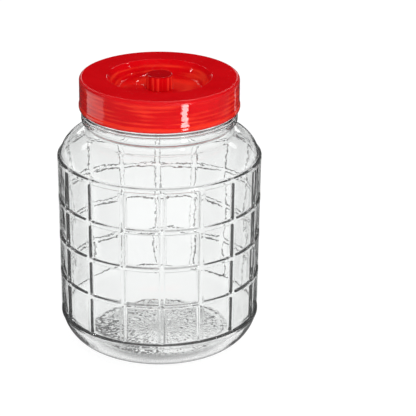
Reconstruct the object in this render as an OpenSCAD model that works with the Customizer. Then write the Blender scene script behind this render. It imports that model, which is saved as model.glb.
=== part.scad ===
// Wide-mouth glass fermentation jar with a screw-on plastic lid and a pull-out vent plug.
// Millimetres, +Z up. The origin is the middle of the face that the jar stands on.

/* [Glass body] */
// Greatest diameter of the jar, over the crest of its top ring
body_d = 215; // [200:1:230]
// How much smaller the wall's radius is at the lowest ring than at the top ring
body_taper = 1.8; // [0:0.1:4]
// Thickness of the side wall between the ribs
wall_t = 3.4; // [2.6:0.1:5]
// Height of the lowest ring's middle above the ground
low_ring_z = 33; // [28:0.5:38]
// Height of the bottom row and of the top row of cells, from ring to ring
end_row_h = 45.6; // [38:0.2:54]
// Height of each of the two middle rows of cells
mid_row_h = 41.8; // [34:0.2:50]

/* [Moulded ribs] */
// Number of upright ribs round the body
rib_count = 16; // [12:1:20]
// Radius of a ring's round section
ring_section_r = 2.6; // [2.2:0.1:3.4]
// How far the rings stand out of the wall
ring_proud = 2.2; // [1.6:0.1:2.6]
// Radius of an upright rib's round section
rib_section_r = 2.4; // [2:0.1:3.2]
// How far the upright ribs stand out of the wall
rib_proud = 2; // [1.4:0.1:2.4]

/* [Base] */
// Outer diameter of the flat ring that the jar stands on
foot_d = 140; // [120:1:160]
// Width of that flat ring
foot_w = 5; // [3:0.5:9]
// How far the middle of the base is pushed up
push_up = 4; // [2:0.5:7]
// Thickness of the glass in the middle of the base
base_t = 6.5; // [5:0.5:9]
// Thickness of the glass over the flat ring
foot_t = 6; // [5:0.5:9]
// How much sooner the floor curves up inside than the heel does outside
heel_t = 4; // [2:0.5:7]
// Height at which the heel's curve turns upright
heel_h = 42; // [39:0.5:48]
// How far the top of the heel stands out past the wall above it
heel_step = 1.7; // [1:0.1:2]

/* [Mouth, neck and shoulder] */
// Diameter of the mouth, which the neck, the lid and the gasket follow
mouth_d = 142; // [134:0.5:148]
// Thickness of the glass in the neck, under the bead
neck_wall = 4.5; // [3.5:0.1:6]
// Thickness of the glass above the bead, where the thread is
finish_wall = 5.5; // [4.4:0.1:6]
// How far the bead under the lid stands out of the neck
bead_proud = 6.3; // [4.5:0.1:7]
// Height of the bead
bead_h = 12.8; // [9:0.2:13.5]
// Height of the neck between the shoulder and the bead
neck_h = 5; // [4:0.5:9]
// Height of the glass above the bead, up to the rim
finish_h = 34; // [30:0.1:40]
// Rounding of the rim's edges
rim_round = 2; // [1:0.1:2.2]
// Radius of the hollow corner between shoulder and neck
neck_fillet = 3; // [1.5:0.5:4]
// Height of the shoulder's curve above the top ring
shoulder_h = 30.2; // [24:0.2:36]
// How far the shoulder's curve would run on inside the neck before it turns level
shoulder_over = 10.8; // [8:0.2:14]

/* [Lid] */
// Room between the glass above the bead and the lid's skirt, for the threads
thread_room = 4.8; // [3.5:0.1:6]
// Gap left between the glass bead and the foot of the skirt
skirt_gap = 4.7; // [2:0.1:8]
// Thickness of the lid's top, well and floor
lid_t = 2.2; // [1.6:0.1:3]
// Thickness of the skirt
skirt_t = 2.3; // [1.8:0.1:2.8]
// Rounding of the lid's upper edge
lid_round = 3.2; // [2.6:0.1:5]
// Height of the thicker band at the foot of the skirt
hem_h = 5; // [3:0.5:8]
// How far that band stands out
hem_proud = 0.7; // [0.3:0.1:1.2]
// Diameter of the well at the lid's flat top
well_d = 109.2; // [100:0.2:116]
// Depth of the well
well_depth = 13; // [10:0.5:16]
// Slope of the well's wall, in degrees from level
well_slope = 50; // [42:1:65]
// Rounding of the well's upper edge
well_round = 2; // [1:0.5:3]
// Rounding at the foot of the well's wall
floor_round = 4; // [2:0.5:6]
// Thickness of the collar inside the mouth that holds the gasket in place
collar_t = 1.6; // [1.2:0.1:2.4]
// Length of that collar
collar_h = 4; // [3:0.5:7]
// Gap all round between the collar and the mouth
collar_gap = 1.2; // [0.8:0.1:2]

/* [Gasket] */
// Thickness of the gasket between the rim and the lid
gasket_t = 1.8; // [1.2:0.1:3]
// Gap between the gasket and the collar inside it
gasket_gap = 0.4; // [0.2:0.1:1]
// How far the gasket reaches out past the glass
gasket_over = 2.5; // [1:0.5:3.5]

/* [Vent plug] */
// Diameter of the plug's grip
plug_d = 28; // [24:0.5:32]
// Height of the plug above the floor of the well
plug_h = 15.2; // [12:0.2:18]
// Wall and top thickness of the hollow grip
plug_t = 1.9; // [1.4:0.1:2.4]
// Draft of the grip: how much smaller its radius is at the top
plug_draft = 0.5; // [0.2:0.1:1]
// Rounding of the grip's upper edge
plug_round = 2.2; // [1:0.2:3]
// Depth of the shallow dish in the grip's top
plug_dish = 0.6; // [0.1:0.1:1]
// Diameter of the plug's stem
stem_d = 8.9; // [7:0.1:10]
// How far the stem reaches below the floor of the well
stem_l = 9; // [7:0.5:12]

/* [Vent grommet] */
// Radial running gap between the stem and the grommet's bore
stem_gap = 0.05; // [0.02:0.01:0.09]
// Thickness of the grommet between its bore and the edge of the lid's hole
grommet_wall = 1.9; // [1.5:0.1:3]
// Radial gap between the grommet and the hole in the lid
seat_gap = 0.1; // [0.05:0.05:0.3]
// How far the grommet's lips reach over the edge of the hole
lip_over = 2.5; // [1.5:0.1:3.5]
// Thickness of each lip
lip_t = 1.6; // [1.2:0.1:2.4]

/* [Hidden] */
$fn = 96;

// An arc is drawn as chords that leave it by chord_tol at most, with steps of arc_step or more.
arc_step = 7.5;
chord_tol = 0.1;
// Sides of an upright rib's round rod.
rib_sides = 32;
// How far a cut runs on past the face that it opens.
cut_over = 1;
// Bevels at the foot of the lid's collar and at the tip of the plug's stem.
collar_bevel = 0.6;
tip_bevel = 1;
// Least rounding inside the lid, between the skirt and the top.
least_corner_r = 0.5;
// The band at the foot of the skirt swells out along this part of a sine wave, in degrees.
hem_sweep = 150;
hem_steps = 8;
// Parts that the curve of the dish in the plug's top is drawn in.
dish_steps = 4;

// Radii and heights of the glass, worked out from the sizes above.
mouth_r = mouth_d/2;
neck_r = mouth_r + neck_wall;
finish_r = mouth_r + finish_wall;
top_wall_r = body_d/2 - ring_proud;
low_wall_r = top_wall_r - body_taper;
ring_zs = [
    low_ring_z,
    low_ring_z + end_row_h,
    low_ring_z + end_row_h + mid_row_h,
    low_ring_z + end_row_h + 2*mid_row_h,
    low_ring_z + 2*end_row_h + 2*mid_row_h
];
top_ring_z = ring_zs[4];
foot_r = foot_d/2;
shoulder_r0 = neck_r - shoulder_over;
shoulder_w = top_wall_r - shoulder_r0;
fillet_z = shoulder_z(neck_r + neck_fillet) + neck_fillet;
bead_z = fillet_z + neck_h + bead_h/2;
rim_z = bead_z + bead_h/2 + finish_h;

// Heights and radii of the lid, which rests on the gasket on the rim.
lid_top_z = rim_z + gasket_t + lid_t;
lid_foot_z = bead_z + bead_h/2 + skirt_gap;
skirt_r = finish_r + thread_room;
lid_r = skirt_r + skirt_t;
well_r = well_d/2;
well_z = lid_top_z - well_depth;
collar_r = mouth_r - collar_gap;
bore_r = stem_d/2 + stem_gap;
vent_r = bore_r + grommet_wall + seat_gap;
lip_r = vent_r + lip_over;

// Radius of the wall's outside at height z, between the lowest ring and the top ring.
function wall_r(z) = low_wall_r + body_taper*(z - low_ring_z)/(top_ring_z - low_ring_z);

// Height of the shoulder's outside at radius r.
function shoulder_z(r) = top_ring_z + shoulder_h*sqrt(1 - pow((r - shoulder_r0)/shoulder_w, 2));

// Points on an ellipse with its middle at c and half-axes a and b, from angle a0 to a1.
function ellipse_arc(c, a, b, a0, a1) =
    let (
        step = max(arc_step, 2*acos(1 - min(1, chord_tol/max(a, b)))),
        n = max(2, ceil(abs(a1 - a0)/step))
    )
    [for (i = [0:n]) let (t = a0 + (a1 - a0)*i/n) c + [a*cos(t), b*sin(t)]];

// Points on a circle of radius r.
function arc(c, r, a0, a1) = ellipse_arc(c, r, r, a0, a1);

// Outside of the glass as a half section, from the push-up over the heel to the rim.
// The heel's ellipse is upright at heel_h, and the lowest ring covers its upper end.
function heel_w() =
    (low_wall_r + heel_step - foot_r)/sqrt(1 - pow((heel_h - low_ring_z)/heel_h, 2));
function heel_end_angle() = -asin((heel_h - low_ring_z)/heel_h);
function shoulder_end_angle() = acos((neck_r + neck_fillet - shoulder_r0)/shoulder_w);

function push_up_points() =
    let (edge_r = foot_r - foot_w, dome_r = (edge_r*edge_r + push_up*push_up)/(2*push_up))
    arc([0, push_up - dome_r], dome_r, 90, 90 - asin(edge_r/dome_r));

function bead_points() =
    ellipse_arc([neck_r, bead_z], bead_proud, bead_h/2,
        -90, acos((finish_r - neck_r)/bead_proud));

function outer_points() = concat(
    push_up_points(),
    ellipse_arc([foot_r, heel_h], heel_w(), heel_h, -90, heel_end_angle()),
    [[wall_r(low_ring_z), low_ring_z]],
    ellipse_arc([shoulder_r0, top_ring_z], shoulder_w, shoulder_h, 0, shoulder_end_angle()),
    arc([neck_r + neck_fillet, fillet_z], neck_fillet, 270, 180),
    bead_points(),
    arc([finish_r - rim_round, rim_z - rim_round], rim_round, 0, 90),
    [[0, rim_z]]
);

// Inside of the glass as a half section, from the middle of the floor to above the rim.
inner_low_r = low_wall_r - wall_t;
inner_top_r = top_wall_r - wall_t;
inner_foot_r = foot_r - heel_t;
inner_shoulder_w = inner_top_r - shoulder_r0;
inner_shoulder_h = shoulder_h - wall_t;
inner_neck_angle = acos((mouth_r - shoulder_r0)/inner_shoulder_w);

function inner_points() = concat(
    [[0, push_up + base_t]],
    ellipse_arc([inner_foot_r, heel_h], inner_low_r - inner_foot_r, heel_h - foot_t, -90, 0),
    ellipse_arc([shoulder_r0, top_ring_z], inner_shoulder_w, inner_shoulder_h,
        0, inner_neck_angle),
    arc([mouth_r + rim_round, rim_z - rim_round], rim_round, 180, 90),
    [[mouth_r + rim_round, rim_z + cut_over], [0, rim_z + cut_over]]
);

// Outer half of the round section of the ring at height z.
function ring_points(z) =
    arc([wall_r(z) + ring_proud - ring_section_r, z], ring_section_r, -90, 90);

// One upright rib, a round rod that leans with the wall, from the lowest to the top ring.
module upright_rib() {
    rise = top_ring_z - low_ring_z;
    lean = atan(body_taper/rise);
    translate([low_wall_r + rib_proud - rib_section_r, 0, low_ring_z])
        rotate([0, lean, 0])
            cylinder(h = rise/cos(lean), r = rib_section_r, $fn = rib_sides);
}

module glass_jar() {
    color("gainsboro", 0.5)
        difference() {
            union() {
                rotate_extrude()
                    union() {
                        polygon(outer_points());
                        for (z = ring_zs)
                            polygon(ring_points(z));
                    }
                for (i = [0:rib_count - 1])
                    rotate([0, 0, -90 + i*360/rib_count])
                        upright_rib();
            }
            rotate_extrude()
                polygon(inner_points());
        }
}

module lid_gasket() {
    inner_r = collar_r + gasket_gap;
    outer_r = finish_r + gasket_over;
    color("whitesmoke")
        translate([0, 0, rim_z])
            difference() {
                cylinder(h = gasket_t, r = outer_r);
                translate([0, 0, -cut_over])
                    cylinder(h = gasket_t + 2*cut_over, r = inner_r);
            }
}

// Radius of the well's sloping wall at height z, on its upper side.
function well_wall_r(z) = well_r - (lid_top_z - z)/tan(well_slope);

// The lid's upper and outer side, from the vent hole to the foot of the skirt.
function hem_point(t) = [lid_r + hem_proud*sin(hem_sweep*t), lid_foot_z + hem_h*(1 - t)];
function lid_outer_points() =
    let (rim_run = well_round*tan(well_slope/2), floor_run = floor_round*tan(well_slope/2))
    concat(
        [[vent_r, well_z]],
        arc([well_wall_r(well_z) - floor_run, well_z + floor_round], floor_round,
            270, 270 + well_slope),
        arc([well_r + rim_run, lid_top_z - well_round], well_round, 90 + well_slope, 90),
        arc([lid_r - lid_round, lid_top_z - lid_round], lid_round, 90, 0),
        [for (i = [0:hem_steps]) hem_point(i/hem_steps)]
    );

// The lid's under side, back from the foot of the skirt to the vent hole.
function lid_inner_points() =
    let (
        floor_run = floor_round*tan(well_slope/2),
        plate_z = lid_top_z - lid_t,
        slope_t = lid_t/sin(well_slope),
        corner_r = max(least_corner_r, lid_round - skirt_t),
        collar_foot_z = plate_z - collar_h
    )
    concat(
        [[skirt_r, lid_foot_z]],
        arc([skirt_r - corner_r, plate_z - corner_r], corner_r, 0, 90),
        [[collar_r, plate_z], [collar_r, collar_foot_z + collar_bevel],
            [collar_r - collar_bevel, collar_foot_z], [collar_r - collar_t, collar_foot_z],
            [collar_r - collar_t, plate_z], [well_wall_r(plate_z) + slope_t, plate_z]],
        arc([well_wall_r(well_z) - floor_run, well_z + floor_round], floor_round + lid_t,
            270 + well_slope, 270),
        [[vent_r, well_z - lid_t]]
    );

module screw_lid() {
    color("red")
        rotate_extrude()
            polygon(concat(lid_outer_points(), lid_inner_points()));
}

// The grommet grips the edge of the vent hole between its two lips.
module vent_grommet() {
    groove_r = vent_r - seat_gap;
    bevel = lip_t/3;
    color("dimgray")
        rotate_extrude()
            polygon([
                [bore_r, well_z - lid_t - lip_t],
                [lip_r - bevel, well_z - lid_t - lip_t],
                [lip_r, well_z - lid_t - lip_t + bevel],
                [lip_r, well_z - lid_t],
                [groove_r, well_z - lid_t],
                [groove_r, well_z],
                [lip_r, well_z],
                [lip_r, well_z + lip_t - bevel],
                [lip_r - bevel, well_z + lip_t],
                [bore_r, well_z + lip_t]
            ]);
}

// The plug is a hollow grip that stands on the well's floor, with a stem down its middle.
module vent_plug() {
    grip_r = plug_d/2;
    top_r = grip_r - plug_draft;
    top_z = well_z + plug_h;
    tip_z = well_z - stem_l;
    stem_r = stem_d/2;
    stem_top_z = top_z - plug_t - plug_dish;
    dish_edge_r = top_r - plug_round;
    dish_r = (pow(dish_edge_r, 2) + pow(plug_dish, 2))/(2*plug_dish);
    color("red")
        rotate_extrude()
            polygon(concat(
                [[0, tip_z], [stem_r - tip_bevel, tip_z], [stem_r, tip_z + 2*tip_bevel],
                    [stem_r, stem_top_z], [top_r - plug_t, stem_top_z],
                    [grip_r - plug_t, well_z], [grip_r, well_z]],
                arc([dish_edge_r, top_z - plug_round], plug_round, 0, 90),
                dish_points(dish_edge_r, dish_r, top_z),
                [[0, top_z - plug_dish]]
            ));
}

// A shallow round dish, from its edge at radius edge_r in towards the axis.
function dish_points(edge_r, sphere_r, top_z) =
    let (half = asin(edge_r/sphere_r))
    [for (i = [1:dish_steps - 1])
        let (a = half*(1 - i/dish_steps))
        [sphere_r*sin(a), top_z - plug_dish + sphere_r*(1 - cos(a))]];

glass_jar();
lid_gasket();
screw_lid();
vent_grommet();
vent_plug();
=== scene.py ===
"""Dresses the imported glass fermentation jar: pressed glass, moulded lid and plug, rubber seals."""

import math

import bpy
import numpy as np
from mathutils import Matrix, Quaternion, Vector, noise


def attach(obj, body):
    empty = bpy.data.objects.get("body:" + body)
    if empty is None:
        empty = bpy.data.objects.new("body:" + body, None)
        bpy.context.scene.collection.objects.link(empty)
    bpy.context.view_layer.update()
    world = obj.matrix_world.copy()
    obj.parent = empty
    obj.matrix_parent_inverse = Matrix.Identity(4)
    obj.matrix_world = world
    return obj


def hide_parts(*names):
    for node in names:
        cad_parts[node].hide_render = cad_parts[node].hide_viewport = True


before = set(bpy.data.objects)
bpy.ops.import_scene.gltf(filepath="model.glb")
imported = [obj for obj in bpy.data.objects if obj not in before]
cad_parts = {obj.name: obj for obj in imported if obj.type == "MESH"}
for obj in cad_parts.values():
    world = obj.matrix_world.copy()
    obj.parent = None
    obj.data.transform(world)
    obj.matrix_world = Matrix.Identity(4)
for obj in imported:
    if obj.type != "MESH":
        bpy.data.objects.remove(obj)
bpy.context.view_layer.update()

MM = 0.001
TURN = 2 * math.pi

# Sizes in millimetres. They follow the part's source, apart from the wall between the ribs,
# the bead, the neck's corners and the foot, which are corrected here.
RING_ZS = (33.0, 78.6, 120.4, 162.2, 207.8)
RIB_COUNT = 16
LOW_WALL_R = 102.95
TOP_WALL_R = 104.75
WALL_T = 3.4
PROUD = 2.7
FOOT_R = 70.0
FOOT_W = 5.0
PUSH_UP = 4.0
# The step beside the bearing ring: distance out from the foot, and height.
FOOT_STEP = (
    (0.3, 0.15), (0.6, 0.5), (1.0, 0.8), (1.6, 0.95),
    (2.6, 0.98), (3.8, 0.94), (5.0, 0.90), (6.2, 0.95),
)
FLOOR_Z = 10.5
HEEL_H = 42.0
HEEL_W = 36.04
INNER_FOOT_R = 66.0
FOOT_T = 6.0
SHOULDER_R0 = 64.7
SHOULDER_H = 30.2
NECK_R = 75.5
NECK_FILLET = 5.0
INNER_FILLET = 8.0
FILLET_Z = 240.6
BEAD_Z = 250.6
BEAD_PROUD = 6.3
BEAD_HALF_H = 6.4
BAND_TOP_Z = 260.7
BAND_ROUND = 0.8
BEAD_GROOVES = ((254.8, 1.2), (258.3, 2.2))
GROOVE_HALF_W = 1.5
FINISH_R = 76.5
MOUTH_R = 71.0
RIM_Z = 291.0
RIM_ROUND = 2.0
PITCH = 6.5
# Threads: height of the start, number of turns, half width. Then how far each stands out.
NECK_THREAD = (269.5, 1.6, 1.7)
NECK_THREAD_H = 2.9
LID_THREAD = (266.2, 2.4, 1.5)
LID_THREAD_H = 2.7
# The thread shows outside on the skirt as a faint sunk band.
SKIRT_SINK = (266.2, 3.4, 3.0)
SKIRT_SINK_H = 0.07

LID_R = 83.6
LID_TOP_Z = 295.0
LID_FOOT_Z = 261.7
LID_T = 2.2
SKIRT_R = 81.3
WELL_R = 54.6
WELL_Z = 282.0
WELL_SLOPE = math.radians(50)
VENT_R = 6.5
HEM_TOP_Z = 266.9
HEM_UPPER = (84.25, 265.9)
HEM_LOWER = (84.28, 263.4)
HEM_FOOT_R = 83.9
COLLAR_R = 69.8
COLLAR_INNER_R = 68.2
COLLAR_Z = 288.8

PLUG_TOP_Z = 297.2
PLUG_R = 14.0
GRIP_TOP_R = 13.5
GRIP_INNER_R = 12.1
GRIP_ROOF_R = 11.6
GRIP_ROOF_Z = 294.7
DISH_EDGE = (9.0, 296.95)
DISH_Z = 296.6
STEM_R = 4.45
STEM_TIP_R = 3.45
STEM_TIP_Z = 275.0
STEM_LOW_Z = 273.0
# Radius of the last ring of points round a closed end.
POLE_R = 0.4


def link(obj):
    bpy.context.scene.collection.objects.link(obj)
    return obj


# Camera: a long lens from a little above, with the jar left of the picture's middle.
FRAME_PX = 416
FOCAL_PX = 2068.0
CAMERA_DISTANCE = 2.2
CAMERA_AZIMUTH = math.radians(-1.3)
CAMERA_ELEVATION = math.radians(22.23)
AXIS_X_PX = 159.6
TARGET_Y_PX = 205.1
CAMERA_ROLL = math.radians(0.5)
TARGET = Vector((0, 0, 0.150))


def add_camera():
    data = bpy.data.cameras.new("camera")
    data.sensor_width = 36.0
    data.lens = FOCAL_PX * data.sensor_width / FRAME_PX
    data.clip_start = 0.1
    data.clip_end = 60.0
    camera = link(bpy.data.objects.new("camera", data))
    back = Vector((
        math.sin(CAMERA_AZIMUTH) * math.cos(CAMERA_ELEVATION),
        -math.cos(CAMERA_AZIMUTH) * math.cos(CAMERA_ELEVATION),
        math.sin(CAMERA_ELEVATION),
    ))
    camera.location = TARGET + back * CAMERA_DISTANCE
    camera.rotation_mode = "QUATERNION"
    towards = (-back).to_track_quat("-Z", "Y")
    middle = FRAME_PX / 2
    aim = Vector(((middle - AXIS_X_PX) / FOCAL_PX, -(middle - TARGET_Y_PX) / FOCAL_PX, -1.0))
    roll = Quaternion((0, 0, 1), CAMERA_ROLL)
    camera.rotation_quaternion = (towards @ aim).to_track_quat("-Z", "Y") @ roll
    bpy.context.scene.camera = camera


add_camera()


# Node helpers for materials.
class Nodes:
    """A short way to add linked nodes to a material or to the world."""

    def __init__(self, tree):
        self.tree = tree
        tree.nodes.clear()

    def add(self, kind, inputs=None, **settings):
        node = self.tree.nodes.new(kind)
        for name, value in settings.items():
            setattr(node, name, value)
        for name, value in (inputs or {}).items():
            self.feed(node.inputs[name], value)
        return node

    def feed(self, socket, value):
        if isinstance(value, bpy.types.NodeSocket):
            self.tree.links.new(value, socket)
        else:
            socket.default_value = value

    def math(self, operation, first, second=0.0, clamp=False):
        node = self.add("ShaderNodeMath", {0: first, 1: second}, operation=operation)
        node.use_clamp = clamp
        return node.outputs[0]

    def noise(self, vector, scale, detail=2.0):
        node = self.add("ShaderNodeTexNoise", {"Vector": vector, "Scale": scale, "Detail": detail})
        return node.outputs["Fac"]

    def scaled(self, vector, factors):
        node = self.add("ShaderNodeVectorMath", {0: vector, 1: factors}, operation="MULTIPLY")
        return node.outputs[0]

    def ramp(self, value, low, high, to_low=0.0, to_high=1.0):
        node = self.add("ShaderNodeMapRange", {
            "Value": value, "From Min": low, "From Max": high,
            "To Min": to_low, "To Max": to_high,
        }, interpolation_type="SMOOTHSTEP")
        return node.outputs["Result"]

    def mix_colour(self, factor, first, second):
        node = self.add("ShaderNodeMix", {0: factor, 6: first, 7: second}, data_type="RGBA")
        return node.outputs[2]

    def mix_number(self, factor, first, second):
        node = self.add("ShaderNodeMix", {0: factor, 2: first, 3: second}, data_type="FLOAT")
        return node.outputs[0]

    def split(self, vector):
        parts = self.add("ShaderNodeSeparateXYZ", {0: vector})
        return parts.outputs[0], parts.outputs[1], parts.outputs[2]

    def length(self, x, y):
        squares = self.math("ADD", self.math("MULTIPLY", x, x), self.math("MULTIPLY", y, y))
        return self.math("SQRT", squares)

    def between(self, value, low, low_full, high_full, high, level=1.0):
        """The level from low_full to high_full, and 0 below low and above high."""
        rise = self.ramp(value, low, low_full, 0.0, level)
        return self.math("MULTIPLY", rise, self.ramp(value, high_full, high, 1.0, 0.0))

    def bump(self, height, distance, strength=1.0, normal=None):
        inputs = {"Height": height, "Distance": distance, "Strength": strength}
        if normal is not None:
            inputs["Normal"] = normal
        return self.add("ShaderNodeBump", inputs).outputs["Normal"]


# Colours of the glass: clear; painted shade at its edges, in the bead's grooves and in the deepest pits
# of the stipple; and as light passes it.
CLEAR_TINT = (0.98, 0.988, 0.985, 1.0)
EDGE_SHADE_TINT = (0.24, 0.25, 0.25, 1.0)
GROOVE_SHADE_TINT = (0.07, 0.07, 0.07, 1.0)
PIT_SHADE_TINT = (0.04, 0.04, 0.04, 1.0)
PASSED_LIGHT = (0.86, 0.87, 0.87, 1.0)
PITS_AROUND = 20.0
PITS_OUT = 190.0
# The painted shade in the stipple's pits is darkest on this side, given as shares of x and y.
DARK_SIDE = (-0.86, -0.51)
# Heights in metres between which each groove gets painted shade, and how strongly.
GROOVE_SHADE_ZS = (
    (0.2572, 0.2579, 0.2584, 0.2592, 1.0),
    (0.2540, 0.2546, 0.2549, 0.2555, 0.6),
)
GROOVE_FROM_R = (0.0765, 0.0775)
DEEP_RED = (0.60, 0.0012, 0.0040, 1.0)
FULL_RED = (0.66, 0.0022, 0.0055, 1.0)
ORANGE_RED = (0.80, 0.030, 0.014, 1.0)
SIDE_HIGHLIGHT_RED = (0.84, 0.034, 0.020, 1.0)
DISH_SHADE_RED = (0.44, 0.0010, 0.0035, 1.0)
# Heights in metres where the skirt's orange bands and patches start and end: random tone with painted
# light in them.
SKIRT_ZS = (0.262, 0.264, 0.2895, 0.2925)
BAND_PITCH = 4.65
# Scales of the noise along x, y and z.
BAND_NOISE_SCALE = (26.0, 26.0, 300.0)
PATCH_SCALE = (22.0, 22.0, 60.0)
SWELL_SCALE = (60.0, 60.0, 110.0)
WARP_SCALE = (70.0, 70.0, 330.0)
HIGHLIGHT_STREAK_SCALE = (260.0, 260.0, 14.0)


def new_material(name):
    material = bpy.data.materials.new(name)
    material.use_nodes = True
    return material, Nodes(material.node_tree)


def place(nodes):
    """The point on the piece, in metres, in the jar's own frame."""
    return nodes.add("ShaderNodeTexCoord").outputs["Object"]


def glass_material():
    material, nodes = new_material("pressed_glass")
    point = place(nodes)
    x, y, z = nodes.split(point)
    radius = nodes.length(x, y)
    on_base = nodes.math("MULTIPLY", nodes.ramp(radius, 0.070, 0.080, 1.0, 0.0),
                         nodes.ramp(z, 0.0045, 0.0055, 1.0, 0.0))
    spoke = nodes.add("ShaderNodeCombineXYZ", {
        0: nodes.math("DIVIDE", x, radius), 1: nodes.math("DIVIDE", y, radius), 2: 0.0,
    }).outputs[0]
    polar = nodes.add("ShaderNodeVectorMath", {
        0: nodes.scaled(spoke, (PITS_AROUND, PITS_AROUND, 0.0)),
        1: nodes.scaled(nodes.add("ShaderNodeCombineXYZ", {2: radius}).outputs[0], (0, 0, PITS_OUT)),
    }, operation="ADD").outputs[0]
    pits = nodes.noise(polar, 1.0, 1.0)
    # Painted shade: the deepest pits of the stipple are tinted dark, more of them on one side.
    deep_side = nodes.math("ADD", nodes.math("MULTIPLY", x, DARK_SIDE[0]),
                           nodes.math("MULTIPLY", y, DARK_SIDE[1]))
    deep = nodes.ramp(deep_side, 0.015, 0.052, 0.60, 0.41)
    deeper = nodes.math("ADD", deep, 0.05)
    stipple = nodes.math("MULTIPLY", nodes.ramp(pits, 0.40, 0.60), on_base)
    pit_shade = nodes.math("MULTIPLY", nodes.ramp(pits, deep, deeper), on_base)
    skin = nodes.noise(point, 55.0, 2.0)
    ripple = nodes.noise(point, 150.0, 2.0)
    normal = nodes.bump(skin, 0.0004, 0.35)
    normal = nodes.bump(ripple, 0.00012, 0.4, normal)
    normal = nodes.bump(stipple, 0.0006, 0.25, normal)
    # Painted shade: the glass is tinted dark where it turns away towards its outlines, starting sooner
    # low on the base.
    facing = nodes.add("ShaderNodeLayerWeight", {"Blend": 0.5, "Normal": normal}).outputs["Facing"]
    edge_start = nodes.ramp(z, 0.003, 0.020, 0.38, 0.74)
    tint_and_shade = nodes.mix_colour(nodes.ramp(facing, edge_start, 0.96), CLEAR_TINT, EDGE_SHADE_TINT)
    # Painted shade in the two grooves of the bead, on the outside only.
    first_groove, second_groove = (nodes.between(z, *zs_and_level) for zs_and_level in GROOVE_SHADE_ZS)
    groove_shade = nodes.math("MULTIPLY", nodes.ramp(radius, *GROOVE_FROM_R),
                         nodes.math("ADD", first_groove, second_groove))
    tint_and_shade = nodes.mix_colour(groove_shade, tint_and_shade, GROOVE_SHADE_TINT)
    tint_and_shade = nodes.mix_colour(pit_shade, tint_and_shade, PIT_SHADE_TINT)
    glass = nodes.add("ShaderNodeBsdfPrincipled", {
        "Base Color": tint_and_shade, "Roughness": 0.015, "IOR": 1.5,
        "Transmission Weight": 0.975, "Normal": normal,
    })
    clear = nodes.add("ShaderNodeBsdfTransparent", {"Color": PASSED_LIGHT})
    path = nodes.add("ShaderNodeLightPath")
    lets_light_through = nodes.math("MAXIMUM", path.outputs["Is Shadow Ray"],
                                    path.outputs["Is Diffuse Ray"])
    mixed = nodes.add("ShaderNodeMixShader", {
        0: lets_light_through, 1: glass.outputs[0], 2: clear.outputs[0],
    })
    nodes.add("ShaderNodeOutputMaterial", {"Surface": mixed.outputs[0]})
    return material


def red_plastic(name, with_bands):
    material, nodes = new_material(name)
    point = place(nodes)
    x, y, z = nodes.split(point)
    cloud = nodes.noise(point, 38.0, 3.0)
    colour = nodes.mix_colour(nodes.ramp(cloud, 0.3, 0.7), DEEP_RED, FULL_RED)
    if with_bands:
        # Random orange tone on the skirt, with painted light: faint bands for its ripples and a lighter
        # hem, and painted shade in a darker band under its top edge.
        skirt = nodes.between(z, *SKIRT_ZS)
        wave = nodes.math("SINE", nodes.math("MULTIPLY", z, TURN / (BAND_PITCH * MM)))
        band_noise = nodes.noise(nodes.scaled(point, BAND_NOISE_SCALE), 1.0, 2.0)
        patch = nodes.noise(nodes.scaled(point, PATCH_SCALE), 1.0, 2.0)
        tone_and_light = nodes.math("ADD", nodes.math("MULTIPLY", wave, 0.10), band_noise)
        tone_and_light = nodes.math("ADD", tone_and_light, nodes.math("MULTIPLY", patch, 0.9))
        tone_and_light = nodes.math("ADD", tone_and_light, nodes.ramp(z, 0.2655, 0.2675, 0.28, 0.0))
        tone_and_light = nodes.math("MULTIPLY", nodes.ramp(tone_and_light, 0.82, 1.22), skirt)
        colour = nodes.mix_colour(tone_and_light, colour, ORANGE_RED)
    fine = nodes.noise(point, 900.0, 2.0)
    wide = nodes.noise(nodes.scaled(point, SWELL_SCALE), 1.0, 2.0)
    normal = nodes.bump(fine, 0.00003, 0.25)
    normal = nodes.bump(wide, 0.0004, 0.35, normal)
    roughness = nodes.ramp(cloud, 0.2, 0.8, 0.03, 0.07)
    if with_bands:
        warp = nodes.noise(nodes.scaled(point, WARP_SCALE), 1.0, 1.0)
        normal = nodes.bump(nodes.math("MULTIPLY", warp, skirt), 0.0004, 0.8, normal)
        worn = nodes.math("MULTIPLY", nodes.ramp(nodes.length(x, y), 0.0795, 0.0812),
                          nodes.ramp(z, 0.2905, 0.2918))
        roughness = nodes.math("ADD", roughness, nodes.math("MULTIPLY", worn, 0.20))
    surface = {
        "Base Color": colour, "Roughness": roughness, "IOR": 1.49, "Normal": normal,
        "Subsurface Weight": 0.12, "Subsurface Radius": (0.006, 0.0012, 0.001),
        "Subsurface Scale": 0.3,
    }
    if not with_bands:
        # Painted highlights: lighter upright streaks on the plug's side. Painted shade: a darker dish
        # on its top.
        highlight_streaks = nodes.noise(nodes.scaled(point, HIGHLIGHT_STREAK_SCALE), 1.0, 1.0)
        side = nodes.mix_colour(nodes.ramp(highlight_streaks, 0.42, 0.60), DEEP_RED, SIDE_HIGHLIGHT_RED)
        surface["Base Color"] = nodes.mix_colour(nodes.ramp(z, 0.2955, 0.2968), side, DISH_SHADE_RED)
    plastic = nodes.add("ShaderNodeBsdfPrincipled", surface)
    nodes.add("ShaderNodeOutputMaterial", {"Surface": plastic.outputs[0]})
    return material


def rubber(name, dark, light, roughness):
    material, nodes = new_material(name)
    point = place(nodes)
    mottled = nodes.noise(point, 130.0, 4.0)
    colour = nodes.mix_colour(nodes.ramp(mottled, 0.3, 0.7), dark, light)
    grain = nodes.noise(point, 2400.0, 3.0)
    normal = nodes.bump(grain, 0.00006, 0.5)
    surface = nodes.add("ShaderNodeBsdfPrincipled", {
        "Base Color": colour, "Roughness": nodes.ramp(mottled, 0.2, 0.8, roughness, 0.85),
        "IOR": 1.45, "Normal": normal,
    })
    nodes.add("ShaderNodeOutputMaterial", {"Surface": surface.outputs[0]})
    return material


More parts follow.
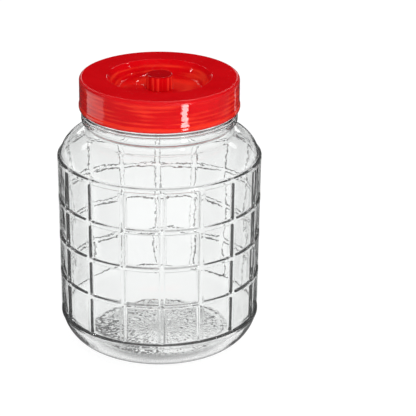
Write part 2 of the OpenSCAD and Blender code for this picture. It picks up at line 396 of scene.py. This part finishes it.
# Mesh helpers: the glass, the lid and the plug are profiles carried round the jar's axis.
def revolved(name, points, low_pole=None, high_pole=None, closed=False):
    """A mesh from rows of points round the axis. points has the shape rows, columns, 3, in mm."""
    rows, columns = points.shape[:2]
    vertices = (points.reshape(-1, 3) * MM).tolist()
    faces = []
    last = rows if closed else rows - 1
    for i in range(last):
        here = i * columns
        above = ((i + 1) % rows) * columns
        for j in range(columns):
            k = (j + 1) % columns
            faces.append((here + j, here + k, above + k, above + j))
    if low_pole is not None:
        vertices.append((0, 0, low_pole * MM))
        pole = len(vertices) - 1
        faces.extend((pole, (j + 1) % columns, j) for j in range(columns))
    if high_pole is not None:
        vertices.append((0, 0, high_pole * MM))
        pole = len(vertices) - 1
        top = (rows - 1) * columns
        faces.extend((pole, top + j, top + (j + 1) % columns) for j in range(columns))
    mesh = bpy.data.meshes.new(name)
    mesh.from_pydata(vertices, [], faces)
    mesh.shade_smooth()
    mesh.update()
    return link(bpy.data.objects.new(name, mesh))


def around(radii, heights, angles):
    """Points for revolved() from radii (rows, columns), heights (rows) and angles (columns)."""
    height_grid = np.broadcast_to(heights[:, None], radii.shape)
    return np.stack([radii * np.cos(angles), radii * np.sin(angles), height_grid], axis=-1)


def ellipse_rows(centre, a, b, start, end, count):
    """Points on an ellipse, angles in degrees, both ends included."""
    t = np.radians(np.linspace(start, end, count))
    return np.stack([centre[0] + a * np.cos(t), centre[1] + b * np.sin(t)], axis=-1)


def straight_rows(start, end, step):
    """Points between two ends, with both of them left out."""
    start, end = np.array(start, float), np.array(end, float)
    count = max(1, math.ceil(np.linalg.norm(end - start) / step))
    shares = np.arange(1, count) / count
    return start + (end - start) * shares[:, None]


def rounded_profile(corners, step, arc_parts=5, closed=False):
    """A profile through corners (radius, height, rounding), with its corners rounded."""
    count = len(corners)
    spans = []
    for i, (r, z, rounding) in enumerate(corners):
        here = np.array((r, z))
        ends = not closed and i in (0, count - 1)
        if ends or rounding == 0:
            spans.append(np.array([here]))
            continue
        before = np.array(corners[i - 1][:2]) - here
        after = np.array(corners[(i + 1) % count][:2]) - here
        before /= np.linalg.norm(before)
        after /= np.linalg.norm(after)
        half = math.acos(float(np.clip(before @ after, -1, 1))) / 2
        run = rounding / math.tan(half)
        middle = here + (before + after) / np.linalg.norm(before + after) * rounding / math.sin(half)
        first, last = here + before * run - middle, here + after * run - middle
        sweep = math.pi - 2 * half
        sign = 1 if first[0] * last[1] - first[1] * last[0] > 0 else -1
        turns = np.linspace(0, sweep * sign, arc_parts + 1)
        spans.append(np.stack([
            middle[0] + first[0] * np.cos(turns) - first[1] * np.sin(turns),
            middle[1] + first[0] * np.sin(turns) + first[1] * np.cos(turns),
        ], axis=-1))
    out = []
    for i, span in enumerate(spans):
        out.append(span)
        if i < count - 1 or closed:
            out.append(straight_rows(span[-1], spans[(i + 1) % count][0], step))
    return np.concatenate(out)


def thread_height(angles, heights, start_z, turns, half_width):
    """Height of a right-hand thread, 0 to 1, over a grid of angles and heights."""
    run_out = math.radians(25)
    theta = np.mod(angles, TURN)[None, :]
    z = heights[:, None]
    height = np.zeros((len(heights), len(angles)))
    for lap in range(math.ceil(turns) + 1):
        along = theta + TURN * lap
        ends = np.clip(np.minimum(along, TURN * turns - along) / run_out, 0, 1)
        centre = start_z + PITCH * along / TURN
        across = 0.5 * (1 + np.cos(np.pi * np.clip(np.abs(z - centre) / half_width, 0, 1)))
        height = np.maximum(height, np.sin(ends * np.pi / 2) * np.clip(1.5 * across, 0, 1))
    return height


# The glass: one closed surface, from the middle of its foot, up the outside, down the inside.
RIB_COLUMNS = 28
RIB_HALF_W = 3.6
RIB_RISE_W = 2.2
LOW_HALF_WS = (2.5, 2.6, 3.0, 3.4, 3.6)
RIB_END_GAP = 2.0
CELL_CORNER_R = 1.0
CORNER_POWER = 3.0
CENTRE_SHARE = 0.35
RING_STEP = 0.45
CELL_STEP = 3.0
GRAIN_H = 0.22
GRAIN_R = 64.5
FLOOR_ROWS = 26
# Waves of the inside of the glass: size, number round the jar, height of a radian, shift.
SWELLS = ((1.0, 3, 19, 0.0), (0.7, 7, -13, 1.1), (0.5, 11, 8, 2.3))
SWELL_H = 0.16


def rib_angles():
    """Angles of the columns, closer together over each upright rib."""
    u = np.arange(RIB_COLUMNS) / RIB_COLUMNS - 0.5
    spread = u * (CENTRE_SHARE + (1 - CENTRE_SHARE) * (2 * u) ** 2)
    period = TURN / RIB_COUNT
    return np.concatenate([(i + spread) * period - math.pi / 2 for i in range(RIB_COUNT)])


def wall_r(z):
    """Radius of the plain wall, the heel or the shoulder at height z."""
    low, top = RING_ZS[0], RING_ZS[-1]
    if z < low:
        return FOOT_R + HEEL_W * math.sqrt(1 - ((HEEL_H - z) / HEEL_H) ** 2)
    if z > top:
        reach = TOP_WALL_R - SHOULDER_R0
        return SHOULDER_R0 + reach * math.sqrt(1 - ((z - top) / SHOULDER_H) ** 2)
    return LOW_WALL_R + (TOP_WALL_R - LOW_WALL_R) * (z - low) / (top - low)


def crest_r(z):
    """Radius of the crests of the ribs and rings at height z."""
    low, top = RING_ZS[0], RING_ZS[-1]
    share = (z - low) / (top - low)
    return LOW_WALL_R + (TOP_WALL_R - LOW_WALL_R) * min(max(share, 0), 1) + PROUD


def body_heights():
    """Heights of the rows over the ribbed wall, closer together over each ring."""
    z = RING_ZS[0] - 6
    heights = []
    while z < RING_ZS[-1] + 5:
        heights.append(z)
        away = min(abs(z - ring) for ring in RING_ZS)
        z += min(CELL_STEP, max(RING_STEP, RING_STEP + (away - RIB_HALF_W) * 0.35))
    return np.array(heights)


def ribbed_wall(heights, angles):
    """Radii of the outside over the rings and ribs, with rounded corners in the cells."""
    z = heights[:, None]
    above_ring = z - np.array(RING_ZS)
    steepness = np.where(above_ring < 0, RIB_HALF_W / np.array(LOW_HALF_WS), 1.0)
    ring_away = np.min(np.abs(above_ring) * steepness, axis=1)[:, None]
    period = TURN / RIB_COUNT
    off = np.mod(angles + math.pi / 2 + period / 2, period) - period / 2
    base = np.array([wall_r(h) for h in heights])[:, None]
    crest = np.array([crest_r(h) for h in heights])[:, None]
    rib_away = np.abs(off)[None, :] * base
    reach = RIB_HALF_W + CELL_CORNER_R
    rib_end = np.clip((z - RING_ZS[0] - RIB_END_GAP) / RIB_HALF_W, 0, 1)
    from_rib = np.clip(reach - rib_away, 0, None) * rib_end
    from_ring = np.clip(reach - ring_away, 0, None)
    past_cell = (from_rib ** CORNER_POWER + from_ring ** CORNER_POWER) ** (1 / CORNER_POWER)
    past_cell = past_cell - CELL_CORNER_R
    inside = (z >= RING_ZS[0]) & (z <= RING_ZS[-1])
    climb = np.where(inside, past_cell, RIB_HALF_W - np.broadcast_to(ring_away, past_cell.shape))
    rise = 0.5 * (1 - np.cos(np.pi * np.clip(climb / RIB_RISE_W, 0, 1)))
    return base + (crest - base) * rise


def stipple_height(x, y):
    """Height of the cast grain under the base, in mm."""
    r = math.hypot(x, y)
    coarse = noise.noise(Vector((x / r * 16, y / r * 16, r * 0.17)))
    fine = noise.noise(Vector((x / r * 31, y / r * 31, r * 0.33 + 8)))
    return GRAIN_H * (0.75 * coarse + 0.35 * fine)


def make_glass():
    angles = rib_angles()
    columns = len(angles)
    plain = np.ones(columns)
    radii, heights = [], []

    def rows(profile):
        radii.extend(r * plain for r, _ in profile)
        heights.extend(z for _, z in profile)

    edge_r = FOOT_R - FOOT_W
    dome_r = (edge_r ** 2 + PUSH_UP ** 2) / (2 * PUSH_UP)
    dome_angle = math.degrees(math.asin(edge_r / dome_r))
    base_rows = ellipse_rows((0, PUSH_UP - dome_r), dome_r, dome_r, 90, 90 - dome_angle, 96)[1:-1]
    grain_rows = len(base_rows)
    rows(base_rows)
    rows([(edge_r, 0.15), (edge_r + 0.5, 0.0), (FOOT_R, 0.0)])
    body = body_heights()
    rows([(FOOT_R + out, z) for out, z in FOOT_STEP])
    heel_start = -math.degrees(math.acos(FOOT_STEP[-1][0] / HEEL_W))
    heel_end = -math.degrees(math.asin((HEEL_H - body[0]) / HEEL_H))
    rows(ellipse_rows((FOOT_R, HEEL_H), HEEL_W, HEEL_H, heel_start, heel_end, 26)[1:-1])
    radii.extend(ribbed_wall(body, angles))
    heights.extend(body)
    shoulder_start = math.degrees(math.asin((body[-1] - RING_ZS[-1]) / SHOULDER_H))
    fillet_r = NECK_R + NECK_FILLET
    reach = TOP_WALL_R - SHOULDER_R0
    shoulder_end = math.degrees(math.acos((fillet_r - SHOULDER_R0) / reach))
    rows(ellipse_rows((SHOULDER_R0, RING_ZS[-1]), reach, SHOULDER_H,
                      shoulder_start, shoulder_end, 26)[1:])
    rows(ellipse_rows((fillet_r, FILLET_Z), NECK_FILLET, NECK_FILLET, 270, 180, 8)[1:])
    rows(ellipse_rows((NECK_R, BEAD_Z), BEAD_PROUD, BEAD_HALF_H, -88, 0, 16))
    bead_r = NECK_R + BEAD_PROUD
    for middle, depth in BEAD_GROOVES:
        for z in np.arange(middle - GROOVE_HALF_W, middle + GROOVE_HALF_W + 0.01, 0.2):
            sink = 0.5 * (1 + math.cos(math.pi * (z - middle) / GROOVE_HALF_W))
            rows([(bead_r - depth * sink, z)])
    rows(ellipse_rows((bead_r - BAND_ROUND, BAND_TOP_Z - BAND_ROUND), BAND_ROUND, BAND_ROUND, 0, 90, 6))
    rows([(FINISH_R + 0.5, BAND_TOP_Z)])
    finish = np.arange(BAND_TOP_Z + 0.5, RIM_Z - RIM_ROUND - 0.2, 0.55)
    ridge = thread_height(angles, finish, *NECK_THREAD)
    radii.extend(FINISH_R + NECK_THREAD_H * ridge)
    heights.extend(finish)
    rows(ellipse_rows((FINISH_R - RIM_ROUND, RIM_Z - RIM_ROUND), RIM_ROUND, RIM_ROUND, 0, 90, 7))
    rows(ellipse_rows((MOUTH_R + RIM_ROUND, RIM_Z - RIM_ROUND), RIM_ROUND, RIM_ROUND, 90, 180, 7))
    first_inner = len(heights)
    inner_reach = TOP_WALL_R - WALL_T - SHOULDER_R0
    inner_rise = SHOULDER_H - WALL_T
    join_r, tilt = MOUTH_R, 0.0
    for _ in range(8):
        join_r = MOUTH_R + INNER_FILLET * (1 - math.sin(tilt))
        share = (join_r - SHOULDER_R0) / inner_reach
        tilt = math.atan(inner_rise / inner_reach * share / math.sqrt(1 - share ** 2))
    join_z = RING_ZS[-1] + inner_rise * math.sqrt(1 - share ** 2)
    corner = (MOUTH_R + INNER_FILLET, join_z + INNER_FILLET * math.cos(tilt))
    rows(straight_rows((MOUTH_R, RIM_Z - RIM_ROUND), (MOUTH_R, corner[1]), 5.0))
    rows(ellipse_rows(corner, INNER_FILLET, INNER_FILLET, 180, 270 - math.degrees(tilt), 14))
    rows(ellipse_rows((SHOULDER_R0, RING_ZS[-1]), inner_reach, inner_rise,
                      math.degrees(math.acos(share)), 0, 24)[1:])
    inner_top = (TOP_WALL_R - WALL_T, RING_ZS[-1])
    inner_low = (LOW_WALL_R - WALL_T, HEEL_H)
    rows(straight_rows(inner_top, inner_low, 3.5))
    rows(ellipse_rows((INNER_FOOT_R, HEEL_H), inner_low[0] - INNER_FOOT_R, HEEL_H - FOOT_T,
                      0, -86, 28))
    for share in np.linspace(0, 1, FLOOR_ROWS)[1:-1]:
        rows([(INNER_FOOT_R * (1 - share),
               FOOT_T + (FLOOR_Z - FOOT_T) * math.sin(share * math.pi / 2))])

    radii, heights = np.array(radii), np.array(heights)
    points = around(radii, heights, angles)
    for i in range(grain_rows):
        x, y = points[i, :, 0], points[i, :, 1]
        fade = min(1.0, max(0.0, (GRAIN_R - radii[i, 0]) / 1.5))
        points[i, :, 2] += fade * np.array([stipple_height(a, b) for a, b in zip(x, y)])
    wavy = points[first_inner:]
    z = wavy[:, :, 2]
    swell = sum(size * np.sin(count * angles + z / rise + shift)
                for size, count, rise, shift in SWELLS)
    wall = np.clip((z - 12) / 20, 0, 1) * np.clip((236 - z) / 16, 0, 1)
    scale = 1 + SWELL_H * swell * wall / np.maximum(np.hypot(wavy[:, :, 0], wavy[:, :, 1]), 1)
    wavy[:, :, :2] *= scale[:, :, None]
    glass = revolved("glass", points, low_pole=PUSH_UP, high_pole=FLOOR_Z)
    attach(glass, "jar")
    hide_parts("glass_jar")
    return glass


# The lid, one moulding with a well, a hem, a collar and an inside thread.
LID_COLUMNS = 256


def well_wall_r(z):
    return WELL_R - (LID_TOP_Z - z) / math.tan(WELL_SLOPE)


def make_lid():
    angles = np.arange(LID_COLUMNS) * TURN / LID_COLUMNS
    plate_z = LID_TOP_Z - LID_T
    under_z = WELL_Z - LID_T
    slant = LID_T / math.sin(WELL_SLOPE)
    corners = [
        (VENT_R, WELL_Z, 0.35),
        (well_wall_r(WELL_Z), WELL_Z, 4.0),
        (WELL_R, LID_TOP_Z, 1.3),
        (LID_R, LID_TOP_Z, 3.2),
        (LID_R, HEM_TOP_Z, 0.5),
        (*HEM_UPPER, 0.6),
        (*HEM_LOWER, 1.2),
        (HEM_FOOT_R, LID_FOOT_Z, 0.5),
        (SKIRT_R, LID_FOOT_Z, 0.5),
        (SKIRT_R, plate_z, 0.9),
        (COLLAR_R, plate_z, 0.4),
        (COLLAR_R, COLLAR_Z, 0.5),
        (COLLAR_INNER_R, COLLAR_Z, 0.4),
        (COLLAR_INNER_R, plate_z, 0.4),
        (well_wall_r(plate_z) + slant, plate_z, 1.0),
        (well_wall_r(under_z) + slant, under_z, 6.2),
        (VENT_R, under_z, 0.35),
    ]
    profile = rounded_profile(corners, 1.0, closed=True)
    radii = np.repeat(profile[:, :1], LID_COLUMNS, axis=1)
    heights = profile[:, 1]
    inside = (np.abs(profile[:, 0] - SKIRT_R) < 0.01) & (heights > LID_FOOT_Z + 0.6)
    ridge = thread_height(angles, heights, *LID_THREAD)
    radii = radii - LID_THREAD_H * ridge * inside[:, None] * (heights < plate_z - 1)[:, None]
    outside = (np.abs(profile[:, 0] - LID_R) < 0.01) & (heights > HEM_TOP_Z + 0.3)
    sink = thread_height(angles, heights, *SKIRT_SINK)
    radii = radii - SKIRT_SINK_H * sink * outside[:, None]
    lid = revolved("lid", around(radii, heights, angles), closed=True)
    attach(lid, "lid")
    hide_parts("screw_lid")
    return lid


def make_plug():
    angles = np.arange(LID_COLUMNS // 2) * TURN / (LID_COLUMNS // 2)
    corners = [
        (POLE_R, STEM_LOW_Z, 0),
        (STEM_TIP_R, STEM_LOW_Z, 0.5),
        (STEM_R, STEM_TIP_Z, 0.6),
        (STEM_R, GRIP_ROOF_Z, 0.6),
        (GRIP_ROOF_R, GRIP_ROOF_Z, 0.8),
        (GRIP_INNER_R, WELL_Z, 0.3),
        (PLUG_R, WELL_Z, 0.4),
        (GRIP_TOP_R, PLUG_TOP_Z, 1.1),
        (*DISH_EDGE, 6.0),
        (POLE_R, DISH_Z, 0),
    ]
    profile = rounded_profile(corners, 1.5, arc_parts=7)
    radii = np.repeat(profile[:, :1], len(angles), axis=1)
    plug = revolved("plug", around(radii, profile[:, 1], angles),
                    low_pole=STEM_LOW_Z, high_pole=DISH_Z)
    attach(plug, "plug")
    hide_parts("vent_plug")
    return plug


def give(obj, material):
    obj.data.materials.clear()
    obj.data.materials.append(material)


def dress_node(node, material):
    """Gives a CAD node's object a new material in each of its slots."""
    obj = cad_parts[node]
    for slot in obj.material_slots:
        slot.material = material


give(make_glass(), glass_material())
give(make_lid(), red_plastic("lid_plastic_red", True))
give(make_plug(), red_plastic("plug_plastic_red", False))
dress_node("lid_gasket", rubber(
    "gasket_rubber", (0.62, 0.61, 0.57, 1), (0.72, 0.71, 0.67, 1), 0.6))
dress_node("vent_grommet", rubber(
    "grommet_rubber", (0.02, 0.02, 0.02, 1), (0.035, 0.035, 0.035, 1), 0.5))


# Floor, sky and lamps. Azimuths are in degrees: 0 is in front of the jar and 90 at its right.
# How bright the mirrored table is all round, and how much more over a wide band in front.
GLOSS_DARK = 0.05
GLOSS_FRONT = 0.18
FRONT_BAND = (-95, 118, 12)
# Cards mirrored in the table: start and end azimuth, softness of the edges, brightness.
MIRRORED_CARDS = (
    (-125, -83, 4, 1.1),
    (28.5, 38.0, 0.6, 14.0),
    (130, 135, 1, 0.9),
)
# The cards start between these distances from the jar's axis, in metres.
CARD_NEAR = 0.60
CARD_FAR = 0.64
FLOOR_GLOW = 1.12
FLOOR_CAMERA_SHARE = 0.75
SKY_FILL = 0.45
# Bright cards in the mirrored sky: azimuth both ways from the front, range of the sine of
# height, brightness.
SKY_CARDS = (
    (160, 175, 0.20, 0.31, 2.5),
    (138, 181, 0.50, 0.58, 2.0),
)
CARD_SOFT_SINE = 0.02
# What shows through the glass: pale low down, dark above, shaded straight below, and with dark
# walls at both sides below the horizon.
PALE = 1.04
DARK_SKY = 0.10
DARK_WALL = 0.06
UNDER_SHADE = 0.45
DARK_WALLS = ((48, 83, 5), (97, 130, 5))
WALL_SINES = (-0.50, -0.44, -0.31, -0.26)
# Lamps: name, azimuth, elevation, distance, width, height, power, and whether gloss shows it.
LAMPS = (
    ("front", 16, 22, 1.9, 1.2, 1.0, 22, False),
    ("top", 10, 75, 1.9, 1.4, 1.2, 10, False),
    ("back", 190, 35, 1.9, 1.2, 1.0, 9, False),
    ("left_spot", -100, 42, 1.6, 0.05, 0.07, 0.5, True),
    ("right_spot", 95, 50, 1.6, 0.05, 0.05, 0.1, True),
    ("back_strip", 160, 62, 1.6, 0.3, 0.04, 1.2, True),
)


def band(nodes, azimuth, start, end, soft):
    """1 between two azimuths, in degrees, and 0 beyond them."""
    start, end, soft = (math.radians(v) for v in (start, end, soft))
    return nodes.between(azimuth, start, start + soft, end - soft, end)


def azimuth_of(nodes, x, y):
    return nodes.math("ARCTAN2", x, nodes.math("MULTIPLY", y, -1.0))


def make_floor():
    size = 8.0
    mesh = bpy.data.meshes.new("floor")
    corners = [(-size, -size, 0), (size, -size, 0), (size, size, 0), (-size, size, 0)]
    mesh.from_pydata(corners, [], [(0, 1, 2, 3)])
    floor = link(bpy.data.objects.new("floor", mesh))
    floor.location.z = -0.0002
    material, nodes = new_material("white_floor")
    matt = nodes.add("ShaderNodeBsdfDiffuse", {"Color": (0.85, 0.85, 0.85, 1)})
    x, y, _ = nodes.split(place(nodes))
    azimuth = azimuth_of(nodes, x, y)
    lid_only = nodes.ramp(nodes.length(x, y), CARD_NEAR, CARD_FAR)
    gloss = nodes.math("ADD", GLOSS_DARK, nodes.math(
        "MULTIPLY", band(nodes, azimuth, *FRONT_BAND), GLOSS_FRONT))
    for start, end, soft, level in MIRRORED_CARDS:
        card = nodes.math("MULTIPLY", band(nodes, azimuth, start, end, soft), level)
        gloss = nodes.math("ADD", gloss, nodes.math("MULTIPLY", card, lid_only))
    path = nodes.add("ShaderNodeLightPath")
    is_through = path.outputs["Is Transmission Ray"]
    is_camera = path.outputs["Is Camera Ray"]
    mirrored = nodes.math("SUBTRACT", path.outputs["Is Glossy Ray"], is_through, clamp=True)
    level = nodes.mix_number(mirrored, FLOOR_GLOW, gloss)
    bright = nodes.add("ShaderNodeEmission", {"Color": (1, 1, 1, 1), "Strength": level})
    share = nodes.math("MAXIMUM", mirrored, nodes.math("MULTIPLY", is_camera, FLOOR_CAMERA_SHARE))
    seen = nodes.add("ShaderNodeMixShader", {0: share, 1: matt.outputs[0], 2: bright.outputs[0]})
    clear = nodes.add("ShaderNodeBsdfTransparent")
    both = nodes.add("ShaderNodeMixShader", {0: is_through, 1: seen.outputs[0], 2: clear.outputs[0]})
    nodes.add("ShaderNodeOutputMaterial", {"Surface": both.outputs[0]})
    give(floor, material)


def make_sky():
    world = bpy.data.worlds.new("studio")
    bpy.context.scene.world = world
    world.use_nodes = True
    nodes = Nodes(world.node_tree)
    direction = nodes.add("ShaderNodeTexCoord").outputs["Generated"]
    x, y, up = nodes.split(direction)
    side = nodes.math("ABSOLUTE", azimuth_of(nodes, x, y))
    wall = nodes.between(up, *WALL_SINES)
    walls = 0.0
    for start, end, soft in DARK_WALLS:
        walls = nodes.math("ADD", walls, band(nodes, side, start, end, soft))
    wall = nodes.math("MULTIPLY", wall, walls)
    through = nodes.ramp(up, 0.03, 0.10, PALE, DARK_SKY)
    through = nodes.math("MULTIPLY", through, nodes.ramp(up, -0.96, -0.70, UNDER_SHADE, 1.0))
    through = nodes.math("SUBTRACT", through, nodes.math("MULTIPLY", wall, PALE - DARK_WALL))
    mirror = nodes.ramp(up, 0.0, 0.12, 0.3, 0.01)
    for start, end, low, high, strength in SKY_CARDS:
        card = nodes.math("MULTIPLY", band(nodes, side, start, end, 3), nodes.between(
            up, low, low + CARD_SOFT_SINE, high - CARD_SOFT_SINE, high))
        mirror = nodes.math("ADD", mirror, nodes.math("MULTIPLY", card, strength))
    path = nodes.add("ShaderNodeLightPath")
    level = nodes.mix_number(path.outputs["Is Glossy Ray"], SKY_FILL, mirror)
    level = nodes.mix_number(path.outputs["Is Transmission Ray"], level, through)
    level = nodes.math("MAXIMUM", level, path.outputs["Is Camera Ray"])
    sky = nodes.add("ShaderNodeBackground", {"Color": (1, 1, 1, 1), "Strength": level})
    nodes.add("ShaderNodeOutputWorld", {"Surface": sky.outputs[0]})


def lamp(name, azimuth, elevation, distance, width, height, power, mirrored):
    """A soft lamp that faces the jar. Only a mirrored lamp shows in glossy surfaces."""
    data = bpy.data.lights.new(name, "AREA")
    data.shape = "RECTANGLE"
    data.size = width
    data.size_y = height
    data.energy = power
    obj = link(bpy.data.objects.new(name, data))
    a, e = math.radians(azimuth), math.radians(elevation)
    back = Vector((math.sin(a) * math.cos(e), -math.cos(a) * math.cos(e), math.sin(e)))
    middle = Vector((0, 0, 0.18))
    obj.location = middle + back * distance
    obj.rotation_mode = "QUATERNION"
    obj.rotation_quaternion = back.to_track_quat("Z", "Y")
    obj.visible_camera = False
    obj.visible_glossy = mirrored
    obj.visible_transmission = False
    return obj


bpy.context.scene.view_settings.view_transform = "Standard"
make_floor()
make_sky()
for settings in LAMPS:
    lamp(*settings)
